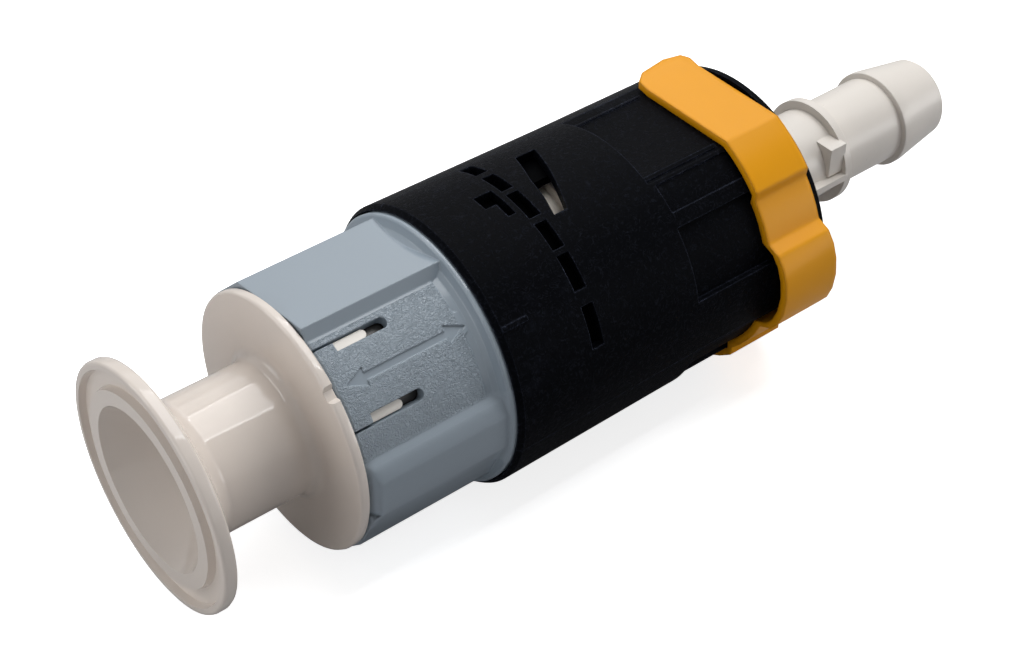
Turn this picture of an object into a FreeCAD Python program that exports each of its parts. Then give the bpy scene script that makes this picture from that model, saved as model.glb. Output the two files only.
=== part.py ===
import FreeCAD, Part
import os
import Sketcher

# Sanitary hose barb coupling with a turning black sleeve.
# Working frame while building: Z is the flow axis from the sanitary face to the barb,
# X is up, and Y points to the side that carries the arrow and the clip lobe.
# Every node is laid down at the end, so that the flow axis becomes the X axis, and the
# origin of the finished frame is the centre of the flange rim, halfway through its edge.

doc = FreeCAD.newDocument("coupling")
sheet = doc.addObject("Spreadsheet::Sheet", "Dims")
row_of = {}
places = {}

sizes = [
    # Clearances
    ("slip_gap", "0.3"),
    ("snug_gap", "0.1"),
    ("seal_gap", "0.03"),
    ("seam_angle", "0.16"),
    # Sanitary insert
    ("flange_radius", "25.25"),
    ("flange_edge", "2.9"),
    ("flange_round", "0.7"),
    ("flange_back", "5.0"),
    ("cone_drop", "5.65"),
    ("gasket_inset", "3.5"),
    ("face_width", "5.05"),
    ("gasket_width", "3.1"),
    ("gasket_depth", "1.4"),
    ("throat_radius", "11.4"),
    ("throat_start", "11.0"),
    ("barrel_radius", "13.6"),
    ("barrel_start", "9.4"),
    ("plate_front", "28.0"),
    ("plate_thick", "2.0"),
    ("plate_round", "0.7"),
    ("plate_root", "2.4"),
    ("notch_angle", "42.6"),
    ("notch_width", "1.8"),
    ("notch_depth", "1.2"),
    ("notch_slope", "0.7"),
    ("insert_bore", "10.4"),
    ("tube_radius", "16.8"),
    ("tube_wall", "3.2"),
    ("plate_rise", "1.1"),
    ("ridge_height", "0.8"),
    ("ridge_length", "2.0"),
    ("seal_groove_width", "2.5"),
    ("seal_groove_depth", "1.65"),
    ("tube_overrun", "1.0"),
    ("socket_depth", "17.0"),
    ("seal_inset", "3.4"),
    ("seal_pitch", "4.4"),
    # Lock collar
    ("collar_gap", "0.3"),
    ("collar_web", "3.0"),
    ("collar_wall", "2.4"),
    ("pad_height", "2.1"),
    ("lip_height", "2.9"),
    ("neck_depth", "3.1"),
    ("lip_length", "4.3"),
    ("neck_length", "8.9"),
    ("arrow_angle", "42.3"),
    ("slot_offset", "16.6"),
    ("slot_width", "2.3"),
    ("slot_length", "11.3"),
    ("slit_width", "0.5"),
    ("arrow_length", "26.2"),
    ("arrow_head", "4.2"),
    ("arrow_head_half", "1.9"),
    ("arrow_bar_half", "0.75"),
    ("arrow_depth", "0.35"),
    ("panel_length", "27.5"),
    ("panel_step", "0.25"),
    ("cove_length", "3.0"),
    ("ring_inset", "4.3"),
    ("slot_inset", "4.2"),
    ("arrow_inset", "2.3"),
    ("grip_foot", "71.0"),
    ("grip_shoulder_drop", "1.1"),
    ("grip_crest_drop", "0.2"),
    ("grip_crease_drop", "0.1"),
    ("grip_under_drop", "0.5"),
    ("grip_shoulder", "77.5"),
    ("grip_crest", "84.5"),
    ("grip_crease", "101.0"),
    ("grip_bevel", "1.7"),
    ("grip_bevel_from", "74.0"),
    ("grip_bevel_to", "102.0"),
    ("grip_under", "127.0"),
    ("flat_from", "150.1"),
    ("flat_to", "195.1"),
    ("flat_foot", "202.9"),
    ("grip_slit_angle", "115.5"),
    ("grip_slit_length", "14.0"),
    ("tip_bulge", "2.6"),
    ("tip_bulge_inset", "0.9"),
    ("tip_bulge_angle", "40.5"),
    ("tip_bulge_rise", "0.03"),
    ("pad_root_depth", "1.6"),
    # Retaining ring between collar and sleeve
    ("ring_thick", "1.5"),
    ("ring_depth", "1.1"),
    ("ring_split", "6.0"),
    ("thrust_thick", "0.8"),
    # Cam carrier
    ("travel", "4.0"),
    ("turn_range", "54.0"),
    ("bell_wall", "2.1"),
    ("skirt_gap", "1.6"),
    ("chamber_wall", "2.4"),
    ("bell_web", "3.4"),
    ("seat_radius", "8.2"),
    ("skirt_wall", "2.1"),
    ("tooth_length", "6.7"),
    ("tooth_width", "1.8"),
    ("finger_half", "1.7"),
    ("cam_wall", "3.4"),
    ("arm_wall", "2.1"),
    ("follower_reach", "1.6"),
    ("tooth_drop", "0.8"),
    ("drive_gap", "0.4"),
    ("cam_track_depth", "1.9"),
    ("cam_track_width", "3.3"),
    ("carrier_tube", "11.2"),
    ("holder_radius", "15.2"),
    ("stem_socket", "12.0"),
    ("floor_gap", "4.0"),
    ("bell_depth", "17.0"),
    ("chamber_depth", "2.4"),
    ("skirt_reach", "6.0"),
    ("cam_inset", "5.7"),
    ("cam_length", "15.3"),
    ("cam_track_inset", "6.7"),
    ("holder_floor", "4.0"),
    ("holder_overrun", "4.6"),
    ("stem_socket_length", "13.4"),
    # Valve plug and spider
    ("spider_length", "3.0"),
    ("spider_wall", "1.5"),
    ("hub_radius", "4.2"),
    ("arm_half", "1.1"),
    ("plug_stem", "2.4"),
    ("plug_head", "9.7"),
    ("plug_head_length", "6.2"),
    ("plug_seal_inner", "6.2"),
    ("plug_seal_outer", "9.3"),
    ("plug_seal_thick", "1.4"),
    ("nut_radius", "3.9"),
    ("nut_length", "2.4"),
    ("washer_radius", "4.0"),
    ("washer_thick", "0.5"),
    # Black sleeve
    ("sleeve_wall", "1.9"),
    ("mouth_wall", "0.9"),
    ("sleeve_taper", "0.5"),
    ("recess_depth", "1.9"),
    ("band_depth", "1.0"),
    ("flat_depth", "3.6"),
    ("bar_drop", "0.05"),
    ("flat_wall", "2.3"),
    ("rib_gap", "0.4"),
    ("rib_thick", "1.6"),
    ("side_recess_from", "46.5"),
    ("side_recess_to", "77.5"),
    ("band_from", "28.2"),
    ("band_to", "40.5"),
    ("bar_angle", "24.2"),
    ("bar_width", "0.9"),
    ("window_width", "2.8"),
    ("tick_angle", "50.0"),
    ("tick_length", "5.8"),
    ("tick_width", "1.0"),
    ("tick_height", "0.35"),
    ("seam_top", "-27.0"),
    ("seam_low", "103.0"),
    ("step_rim", "0.6"),
    ("recess_low_end", "139.5"),
    ("lip_show", "1.0"),
    ("front_length", "44.6"),
    ("rear_length", "34.2"),
    ("mouth_bevel", "1.2"),
    ("window_inset", "18.5"),
    ("bar_gap", "1.2"),
    ("edge_line_side", "10.3"),
    ("edge_line_width", "0.5"),
    ("edge_line_height", "0.3"),
    # Drive ring inside the sleeve
    ("arm_angle", "-8.0"),
    ("arm_spread", "8.0"),
    ("follower_radius", "1.5"),
    ("drive_length", "9.6"),
    ("arm_overrun", "3.6"),
    # End plate and bush
    ("end_plate_gap", "0.2"),
    ("end_plate_thick", "1.6"),
    ("plate_drop", "0.8"),
    ("bush_wall", "3.0"),
    ("bush_length", "5.8"),
    ("bush_flange", "14.6"),
    ("bush_flange_thick", "1.4"),
    ("wiper_depth", "3.0"),
    ("wiper_thick", "1.8"),
    ("wiper_height", "1.5"),
    ("key_ring_thick", "1.2"),
    ("key_ring_height", "0.9"),
    ("spigot_length", "5.0"),
    ("spigot_wall", "2.6"),
    ("hub_radius_outer", "15.4"),
    ("key_ring_inset", "3.6"),
    # Barb stem
    ("stem_bore", "6.9"),
    ("stub_radius", "9.8"),
    ("collar_ring_radius", "11.7"),
    ("collar_ring_thick", "1.9"),
    ("shank_radius", "9.65"),
    ("barb_crest", "10.85"),
    ("barb_land", "1.6"),
    ("barb_tip", "8.7"),
    ("tip_round", "0.9"),
    ("stem_flange", "13.3"),
    ("stem_flange_thick", "2.0"),
    ("lock_ring_thick", "1.2"),
    ("key_rib_length", "20.8"),
    ("flange_inset", "13.2"),
    ("stem_seal_inset", "9.4"),
    ("stub_length", "24.6"),
    ("rib_inner", "8.8"),
    ("shank_length", "17.6"),
    ("barb_length", "14.8"),
    ("lug_top", "7.8"),
    ("lug_side", "10.5"),
    ("lug_inner", "5.0"),
    ("lug_foot", "1.0"),
    ("lug_length", "4.0"),
    ("key_rib_top", "0.55"),
    ("key_rib_low", "-1.0"),
    ("key_rib_side", "11.85"),
    # Yellow locking clip
    ("clip_width", "14.0"),
    ("clip_wall", "1.6"),
    ("clip_gap", "0.15"),
    ("clip_flat_angle", "26.4"),
    ("clip_step", "48.5"),
    ("clip_low_end", "137.0"),
    ("clip_low_out", "139.5"),
    ("clip_low_bend", "153.6"),
    ("clip_lobe_start", "69.0"),
    ("clip_lobe_reach", "33.7"),
    ("clip_low", "51.0"),
    ("clip_tab_start", "9.5"),
    ("clip_tab_end", "14.5"),
    ("clip_tab_rise", "1.1"),
    ("clip_inset", "14.6"),
    ("clip_tab_corner", "2.4"),
    ("clip_tab_point", "0.8"),
]
for alias, value in sizes:
    row = len(row_of) + 1
    row_of[alias] = row
    sheet.set("A%d" % row, alias)
    sheet.set("B%d" % row, value)
    sheet.setAlias("B%d" % row, alias)
doc.recompute()


def place(name, text):
    """A station that other formulas name, worked out from the sizes alone."""
    places[name] = text


def at(alias):
    return "<<Dims>>.%s" % alias


def formula(text):
    words = []
    word = ""
    for letter in text + " ":
        if letter.isalpha() or letter == "_":
            word += letter
        else:
            if word in row_of:
                word = at(word)
            elif word in places:
                word = "(%s)" % formula(places[word])
            words.append(word + letter)
            word = ""
    return "".join(words).strip()


def bind(thing, prop, text):
    thing.setExpression(prop, formula(text))


def origin_plane(body, role):
    for item in body.Origin.OriginFeatures:
        if item.Role == role:
            return item
    return None


def polygon(body, name, plane, points):
    """A closed polygon whose corners are driven by formulas."""
    sketch = body.newObject("Sketcher::SketchObject", name)
    sketch.AttachmentSupport = [(origin_plane(body, plane), "")]
    sketch.MapMode = "FlatFace"
    count = len(points)
    probe = doc.addObject("App::FeaturePython", "Probe")
    probe.addProperty("App::PropertyFloatList", "Held")
    probe.addProperty("App::PropertyFloat", "One")
    places = []
    for pair in points:
        spot = []
        for text in pair:
            probe.setExpression("One", formula(text))
            probe.recompute()
            spot.append(probe.One)
        places.append(spot)
    doc.removeObject(probe.Name)
    for index in range(count):
        a = places[index]
        b = places[(index + 1) % count]
        start = FreeCAD.Vector(a[0], a[1], 0)
        end = FreeCAD.Vector(b[0], b[1], 0)
        sketch.addGeometry(Part.LineSegment(start, end), False)
    for index in range(count):
        after = (index + 1) % count
        sketch.addConstraint(Sketcher.Constraint("Coincident", index, 2, after, 1))
    for index in range(count):
        for axis, kind, line in ((0, "DistanceX", -2), (1, "DistanceY", -1)):
            if points[index][axis] == "0":
                sketch.addConstraint(Sketcher.Constraint("PointOnObject", index, 1, line))
                continue
            rule = Sketcher.Constraint(kind, -1, 1, index, 1, places[index][axis])
            held = sketch.addConstraint(rule)
            sketch.setExpression("Constraints[%d]" % held, formula(points[index][axis]))
    return sketch


def new_body(name):
    return doc.addObject("PartDesign::Body", name)


def turned(name, points):
    """A full turn of a profile given as radius and height along the flow axis."""
    body = new_body(name)
    sketch = polygon(body, name + "_profile", "XZ_Plane", points)
    turn = body.newObject("PartDesign::Revolution", name + "_turn")
    turn.Profile = sketch
    turn.ReferenceAxis = (sketch, ["V_Axis"])
    turn.Angle = 360
    sketch.Visibility = False
    body.Tip = turn
    return body


def prism(name, points, start, length):
    """A prism along the flow axis with a section given in X and Y."""
    body = new_body(name)
    sketch = polygon(body, name + "_section", "XY_Plane", points)
    pad = body.newObject("PartDesign::Pad", name + "_pad")
    pad.Profile = sketch
    pad.setExpression("Length", formula(length))
    sketch.Visibility = False
    body.Tip = pad
    bind(body, "Placement.Base.z", start)
    return body


def cylinder(name, radius, start, length, angle=None, turn=None):
    thing = doc.addObject("Part::Cylinder", name)
    bind(thing, "Radius", radius)
    bind(thing, "Height", length)
    if angle:
        bind(thing, "Angle", angle)
    if turn:
        thing.Placement.Rotation = FreeCAD.Rotation(FreeCAD.Vector(0, 0, 1), 1)
        bind(thing, "Placement.Rotation.Angle", turn)
    bind(thing, "Placement.Base.z", start)
    return thing


def around(name, thing, angle):
    """The thing turned about the flow axis, kept as a compound of one."""
    holder = doc.addObject("Part::Compound", name)
    holder.Links = [thing]
    holder.Placement = FreeCAD.Placement(FreeCAD.Vector(), FreeCAD.Rotation(FreeCAD.Vector(0, 0, 1), 1))
    bind(holder, "Placement.Rotation.Angle", angle)
    return holder


def block(name, low, high, half, start, length, angle, side="0"):
    """A radial block: from one radius to another, half its width each way."""
    box = doc.addObject("Part::Box", name)
    bind(box, "Length", "(%s) - (%s)" % (high, low))
    bind(box, "Width", "2 * (%s)" % half)
    bind(box, "Height", length)
    bind(box, "Placement.Base.x", low)
    bind(box, "Placement.Base.y", "(%s) - (%s)" % (side, half))
    bind(box, "Placement.Base.z", start)
    return around(name + "_turned", box, angle)


def peg(name, radius, low, high, along, angle, side="0"):
    """A round peg that points out from the flow axis."""
    thing = doc.addObject("Part::Cylinder", name)
    bind(thing, "Radius", radius)
    bind(thing, "Height", "(%s) - (%s)" % (high, low))
    thing.Placement = FreeCAD.Placement(FreeCAD.Vector(), FreeCAD.Rotation(FreeCAD.Vector(0, 1, 0), 90))
    bind(thing, "Placement.Base.x", low)
    bind(thing, "Placement.Base.y", side)
    bind(thing, "Placement.Base.z", along)
    return around(name + "_turned", thing, angle)


def fused(name, things):
    thing = doc.addObject("Part::MultiFuse", name)
    thing.Shapes = things
    thing.Refine = True
    return thing


def cut(name, base, tools):
    tool = tools[0] if len(tools) == 1 else fused(name + "_cutters", tools)
    thing = doc.addObject("Part::Cut", name)
    thing.Base = base
    thing.Tool = tool
    thing.Refine = True
    return thing


def common(name, base, tool):
    thing = doc.addObject("Part::MultiCommon", name)
    thing.Shapes = [base, tool]
    thing.Refine = True
    return thing


def ring(name, inner, outer, start, end):
    return turned(name, [(inner, start), (outer, start), (outer, end), (inner, end)])


def polar(radius, angle):
    return ("(%s) * cos(%s)" % (radius, angle), "(%s) * sin(%s)" % (radius, angle))


# Stations along the flow axis, each told from the one before it
place("plate_back", "plate_front + plate_thick")
place("collar_front", "plate_back + collar_gap")
place("collar_web_end", "collar_front + collar_web")
place("ridge_at", "collar_web_end + snug_gap")
place("panel_end", "collar_front + panel_length")
place("slot_start", "collar_front + slot_inset")
place("arrow_start", "collar_front + arrow_inset")
place("lip_front", "panel_end + cove_length")
place("lip_end", "lip_front + lip_length")
place("neck_end", "lip_end + neck_length")
place("ring_at", "lip_end + ring_inset")
place("ring_end", "ring_at + ring_thick")
place("tube_end", "neck_end + tube_overrun")
place("socket_start", "tube_end - socket_depth")
place("seal_two_at", "tube_end - seal_inset")
place("seal_one_at", "seal_two_at - seal_pitch")
place("bell_floor", "tube_end + floor_gap")
place("bell_start", "bell_floor - bell_depth")
place("chamber_start", "bell_floor - chamber_depth")
place("skirt_start", "bell_start - skirt_reach")
place("cam_start", "bell_floor + cam_inset")
place("cam_end", "cam_start + cam_length")
place("cam_track_at", "cam_start + cam_track_inset")
place("drive_end", "cam_start - slip_gap")
place("drive_start", "drive_end - drive_length")
place("arm_end", "cam_track_at + arm_overrun")
place("sleeve_front", "lip_front + lip_show")
place("window_front", "sleeve_front + window_inset")
place("step_at", "sleeve_front + front_length")
place("recess_start", "step_at + step_rim")
place("sleeve_rear", "step_at + rear_length")
place("clip_front", "sleeve_rear - clip_inset")
place("bar_end", "clip_front - bar_gap")
place("plate_start", "sleeve_rear + end_plate_gap")
place("plate_end", "plate_start + end_plate_thick")
place("spigot_start", "sleeve_rear - spigot_length")
place("key_ring_at", "sleeve_rear - key_ring_inset")
place("bush_start", "plate_end - bush_length")
place("stem_flange_at", "sleeve_rear - flange_inset")
place("stem_flange_end", "stem_flange_at + stem_flange_thick")
place("stem_seal_at", "stem_flange_at - stem_seal_inset")
place("stem_socket_start", "stem_flange_at - stem_socket_length")
place("holder_start", "stem_socket_start - holder_floor")
place("holder_end", "stem_flange_at + holder_overrun")
place("collar_ring_at", "sleeve_rear + stub_length")
place("collar_ring_end", "collar_ring_at + collar_ring_thick")
place("barb_at", "collar_ring_end + shank_length")
place("stem_end", "barb_at + barb_length")

# Radii that follow from the flange rim inwards and from the insert tube outwards, each with its own step
place("flange_cone_radius", "flange_radius - cone_drop")
place("gasket_radius", "flange_radius - gasket_inset")
place("mouth_radius", "gasket_radius - face_width")
place("socket_radius", "tube_radius - tube_wall")
place("chamber_radius", "tube_radius - chamber_wall")
place("collar_bore", "tube_radius + snug_gap + bell_wall + skirt_gap + skirt_wall + slip_gap")
place("panel_radius", "collar_bore + collar_wall")
place("plate_radius", "panel_radius + plate_rise")
place("pad_radius", "panel_radius + pad_height")
place("grip_shoulder_radius", "pad_radius - grip_shoulder_drop")
place("grip_crest_radius", "pad_radius - grip_crest_drop")
place("grip_crease_radius", "pad_radius - grip_crease_drop")
place("grip_under_radius", "pad_radius - grip_under_drop")
place("lip_radius", "panel_radius + lip_height")
place("neck_radius", "lip_radius - neck_depth")
place("rib_radius", "neck_radius + rib_gap")
place("sleeve_radius", "lip_radius + slip_gap + mouth_wall")
place("sleeve_mid_radius", "sleeve_radius - sleeve_taper")
place("ring_outer", "sleeve_mid_radius - sleeve_wall - snug_gap")
place("side_recess_radius", "sleeve_radius - recess_depth")
place("band_radius", "sleeve_radius - band_depth")
place("flat_height", "sleeve_radius - flat_depth")
place("bar_height", "sleeve_mid_radius - bar_drop")
place("rear_bore", "flat_height - flat_wall")
place("end_plate_radius", "sleeve_mid_radius - plate_drop")
place("cam_radius", "sleeve_mid_radius - sleeve_wall - arm_wall")
place("arm_inner", "cam_radius + slip_gap")
place("follower_depth", "cam_radius - follower_reach")
place("drive_inner", "collar_bore + drive_gap")
place("tooth_top", "panel_radius - tooth_drop")
place("bush_radius", "stub_radius + bush_wall")

nodes = []


def node(name, thing):
    """The finished piece, laid down so that the flow axis points along X."""
    final = doc.addObject("Part::Compound", name)
    final.Links = [thing]
    final.Label = name
    upright = FreeCAD.Matrix(0, 0, 1, 0, 0, -1, 0, 0, 1, 0, 0, 0, 0, 0, 0, 1)
    final.Placement = FreeCAD.Placement(upright)
    bind(final, "Placement.Base.x", "0 - flange_edge / 2")
    nodes.append(final)
    return final


# Sanitary insert: ferrule flange, gasket groove, barrel, thin plate and tube with seal grooves
groove_in = "gasket_radius - gasket_width / 2"
groove_out = "gasket_radius + gasket_width / 2"
floor_radius = "tube_radius - seal_groove_depth"


def seal_groove(at_height):
    low = "%s - seal_groove_width / 2" % at_height
    high = "%s + seal_groove_width / 2" % at_height
    return [("tube_radius", low), (floor_radius, low), (floor_radius, high), ("tube_radius", high)]


insert_points = [
    ("mouth_radius", "0"),
    (groove_in + " - 0.4", "0"),
    (groove_in, "gasket_depth"),
    (groove_out, "gasket_depth"),
    (groove_out + " + 0.4", "0"),
    ("flange_radius - flange_round", "0"),
    ("flange_radius - flange_round * 0.3", "flange_round * 0.3"),
    ("flange_radius", "flange_round"),
    ("flange_radius", "flange_edge - flange_round"),
    ("flange_radius - flange_round * 0.35", "flange_edge - flange_round * 0.25"),
    ("flange_radius - flange_round", "flange_edge"),
    ("flange_cone_radius", "flange_back"),
    ("barrel_radius + (flange_cone_radius - barrel_radius) * 0.36", "flange_back + 1.3"),
    ("barrel_radius + (flange_cone_radius - barrel_radius) * 0.08", "barrel_start - 1.2"),
    ("barrel_radius", "barrel_start"),
    ("barrel_radius", "plate_front - plate_root"),
    ("barrel_radius + plate_root * 0.3", "plate_front - plate_root * 0.3"),
    ("barrel_radius + plate_root", "plate_front"),
    ("plate_radius - plate_round", "plate_front"),
    ("plate_radius - plate_round * 0.3", "plate_front + plate_round * 0.3"),
    ("plate_radius", "plate_front + plate_round"),
    ("plate_radius", "plate_back - 0.3"),
    ("plate_radius - 0.3", "plate_back"),
    ("tube_radius", "plate_back"),
    ("tube_radius", "ridge_at"),
    ("tube_radius + ridge_height", "ridge_at"),
    ("tube_radius + ridge_height", "ridge_at + ridge_length * 0.3"),
    ("tube_radius", "ridge_at + ridge_length"),
]
insert_points += seal_groove("seal_one_at")
insert_points += seal_groove("seal_two_at")
insert_points += [
    ("tube_radius", "tube_end - 0.6"),
    ("tube_radius - 0.6", "tube_end"),
    ("socket_radius", "tube_end"),
    ("socket_radius", "socket_start"),
    ("insert_bore", "socket_start"),
    ("insert_bore", "plate_back"),
    ("throat_radius", "throat_start"),
]
insert_solid = turned("insert_turning", insert_points)
notch_open = "(notch_width / 2 + (notch_depth + 1) * notch_slope)"
notch = prism("rim_notch", [
    ("plate_radius - notch_depth", "0 - notch_width / 2"),
    ("plate_radius + 1", "0 - " + notch_open),
    ("plate_radius + 1", notch_open),
    ("plate_radius - notch_depth", "notch_width / 2"),
], "plate_front - 0.5", "plate_thick + 1")
node("sanitary_insert", cut("insert_cut", insert_solid, [around("rim_notch_turned", notch, "notch_angle")]))

# Lock collar: webbed front, recessed fields, flat pads that run into side grips, flared lip and a necked rear
lip_rise = "(lip_radius - panel_radius)"
collar_points = [
    ("tube_radius + snug_gap", "collar_front"),
    ("panel_radius - 0.5", "collar_front"),
    ("panel_radius", "collar_front + 0.5"),
    ("panel_radius", "panel_end"),
    ("panel_radius - panel_step", "panel_end + 0.05"),
    ("panel_radius + %s * 0.04" % lip_rise, "panel_end + cove_length * 0.5"),
    ("panel_radius + %s * 0.3" % lip_rise, "panel_end + cove_length * 0.8"),
    ("panel_radius + %s * 0.65" % lip_rise, "panel_end + cove_length * 0.96"),
    ("lip_radius - 0.35", "lip_front"),
    ("lip_radius", "lip_front + 0.35"),
    ("lip_radius", "lip_end"),
    ("neck_radius", "lip_end"),
    ("neck_radius", "ring_at - slip_gap / 2"),
    ("neck_radius - ring_depth", "ring_at - slip_gap / 2"),
    ("neck_radius - ring_depth", "ring_end + slip_gap / 2"),
    ("neck_radius", "ring_end + slip_gap / 2"),
    ("neck_radius", "neck_end"),
    ("collar_bore", "neck_end"),
    ("collar_bore", "collar_web_end"),
    ("tube_radius + snug_gap", "collar_web_end"),
]
collar_core = turned("collar_core", collar_points)
pad_root = "panel_radius - pad_root_depth"
bevel_profile = turned("grip_bevel_profile", [
    ("grip_crest_radius - grip_bevel - 1", "collar_front - 1"),
    ("grip_crest_radius + 2", "collar_front - 1"),
    ("grip_crest_radius + 2", "collar_front + grip_bevel + 2"),
])
pads = []
pad_trims = [cylinder("pad_core", "collar_bore + 0.5", "collar_front - 1", "lip_end - collar_front")]
for side, half_turn in (("front", "0"), ("back", "180")):
    pad = prism("pad_" + side, [
        polar(pad_root, "grip_foot"),
        polar("grip_shoulder_radius", "grip_shoulder"),
        polar("grip_crest_radius", "grip_crest"),
        polar("grip_crease_radius", "grip_crease"),
        polar("grip_under_radius", "grip_under"),
        polar("pad_radius", "flat_from"),
        polar("pad_radius", "flat_to"),
        polar(pad_root, "flat_foot"),
        ("0", "0"),
    ], "collar_front", "lip_front + 0.2 - collar_front")
    pads.append(around("pad_%s_turned" % side, pad, half_turn))
    wedge = cylinder("grip_bevel_sector_" + side, "pad_radius + 5", "collar_front - 2", "grip_bevel + 6",
                     "grip_bevel_to - grip_bevel_from", "grip_bevel_from + " + half_turn)
    pad_trims.append(common("grip_bevel_" + side, bevel_profile, wedge))
    pad_trims.append(block("grip_slit_" + side, "grip_crease_radius - 0.9", "pad_radius + 1", "slit_width / 2",
                           "collar_front - 1", "grip_slit_length + 1", "grip_slit_angle + " + half_turn))
pad_group = cut("pads_shaped", fused("pads_all", pads), pad_trims)
tongue_peg = peg("arrow_tongue", "tip_bulge", "collar_bore + 0.8", "lip_radius",
                 "panel_end - tip_bulge_inset", "tip_bulge_angle")
tongue_ring = ring("tongue_ring", "collar_bore + 1", "panel_radius + tip_bulge_rise", "arrow_start", "lip_front")
collar_solid = fused("collar_solid", [collar_core, pad_group, common("tongue", tongue_peg, tongue_ring)])
slots = []
for side, half_turn in (("front", "0"), ("back", "180")):
    for hand, sign in (("upper", "-"), ("lower", "+")):
        label = "%s_%s" % (side, hand)
        angle = "arrow_angle %s slot_offset + %s" % (sign, half_turn)
        slots.append(block("slot_" + label, "collar_bore - 2", "pad_radius + 2", "slot_width / 2",
                           "slot_start", "slot_length - slot_width / 2", angle))
        slots.append(peg("slot_end_" + label, "slot_width / 2", "collar_bore - 2", "pad_radius + 2",
                         "slot_start + slot_length - slot_width / 2", angle))
        edge = "%s (slot_width - slit_width) / 2" % ("0 -" if sign == "-" else "0 +")
        slots.append(block("slit_" + label, "collar_bore - 2", "pad_radius + 2", "slit_width / 2",
                           "collar_front - 1", "slot_inset + 1.2", angle, edge))
arrow = new_body("arrow")
arrow_tail = "arrow_start + arrow_length"
arrow_sketch = polygon(arrow, "arrow_outline", "YZ_Plane", [
    ("0", "arrow_start"),
    ("arrow_head_half", "arrow_start + arrow_head"),
    ("arrow_bar_half", "arrow_start + arrow_head"),
    ("arrow_bar_half", arrow_tail + " - arrow_head"),
    ("arrow_head_half", arrow_tail + " - arrow_head"),
    ("0", arrow_tail),
    ("0 - arrow_head_half", arrow_tail + " - arrow_head"),
    ("0 - arrow_bar_half", arrow_tail + " - arrow_head"),
    ("0 - arrow_bar_half", "arrow_start + arrow_head"),
    ("0 - arrow_head_half", "arrow_start + arrow_head"),
])
arrow_pad = arrow.newObject("PartDesign::Pad", "arrow_pad")
arrow_pad.Profile = arrow_sketch
bind(arrow_pad, "Length", "5")
arrow.Tip = arrow_pad
bind(arrow, "Placement.Base.x", "panel_radius - arrow_depth")
collar_tools = slots + [around("arrow_turned", arrow, "arrow_angle")]
node("lock_collar", cut("collar_cut", collar_solid, collar_tools))

# Retaining ring: split, in the collar neck and the sleeve
ring_full = ring("retaining_full", "neck_radius - ring_depth + snug_gap", "ring_outer", "ring_at", "ring_end")
ring_gap = block("ring_split_gap", "10", "40", "ring_split / 2", "ring_at - 1", "ring_thick + 2", "arrow_angle + 180")
node("retaining_ring", cut("retaining_cut", ring_full, [ring_gap]))


seal_section = "(seal_groove_depth + snug_gap - 2 * seal_gap)"


def oring(name, centre, height):
    """A rubber ring of round section."""
    thing = doc.addObject("Part::Torus", name + "_torus")
    bind(thing, "Radius1", centre)
    bind(thing, "Radius2", seal_section + " / 2")
    bind(thing, "Placement.Base.z", height)
    node(name, thing)


insert_seal_centre = "tube_radius + snug_gap - seal_gap - %s / 2" % seal_section
oring("insert_seal_front", insert_seal_centre, "seal_one_at")
oring("insert_seal_rear", insert_seal_centre, "seal_two_at")

# Plug spider: rim, three arms and a hub
spider_end = "socket_start + spider_length"
rim = ring("spider_rim", "socket_radius - snug_gap - spider_wall", "socket_radius - snug_gap",
           "socket_start", spider_end)
hub = ring("spider_hub", "plug_stem", "hub_radius", "socket_start", spider_end)
arms = [block("spider_arm_%d" % index, "plug_stem + 0.8", "socket_radius - snug_gap - spider_wall / 2", "arm_half",
              "socket_start", "spider_length", str(120 * index)) for index in range(3)]
node("plug_spider", fused("spider_fused", [rim, hub] + arms))

# Valve plug: stem through the hub, domed head and a recess for its face seal
head_end = "bell_floor - seal_gap"
head_start = "bell_floor - plug_head_length"
node("valve_plug", turned("plug_turning", [
    ("0", "socket_start - washer_thick - nut_length - 0.8"),
    ("plug_stem - snug_gap", "socket_start - washer_thick - nut_length - 0.8"),
    ("plug_stem - snug_gap", spider_end + " + snug_gap"),
    ("plug_stem + 0.9", spider_end + " + snug_gap"),
    ("plug_stem + 0.9", head_start + " - 1.5"),
    ("plug_head * 0.55", head_start),
    ("plug_head * 0.9", head_start + " + 1.6"),
    ("plug_head", head_start + " + 3.4"),
    ("plug_head", head_end + " - 0.5"),
    ("plug_seal_outer", head_end + " - 0.5"),
    ("plug_seal_outer", head_end + " - plug_seal_thick"),
    ("plug_seal_inner", head_end + " - plug_seal_thick"),
    ("plug_seal_inner", head_end + " - 0.4"),
    ("plug_seal_inner - 2.4", head_end + " + 1.6"),
    ("0", head_end + " + 2.4"),
]))
node("plug_seal", ring("plug_seal_ring", "plug_seal_inner + 0.02", "plug_seal_outer - 0.02",
                       head_end + " - plug_seal_thick + 0.02", head_end))
node("plug_nut", cut("plug_nut_cut", prism("plug_nut_hex", [polar("nut_radius", str(60 * k)) for k in range(6)],
                                           "socket_start - washer_thick - nut_length - 0.04", "nut_length"),
                     [cylinder("plug_nut_hole", "plug_stem", "socket_start - washer_thick - nut_length - 1",
                               "nut_length + 2")]))

node("plug_washer", ring("plug_washer_ring", "plug_stem", "washer_radius", "socket_start - washer_thick - 0.02",
                         "socket_start - 0.02"))

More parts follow.
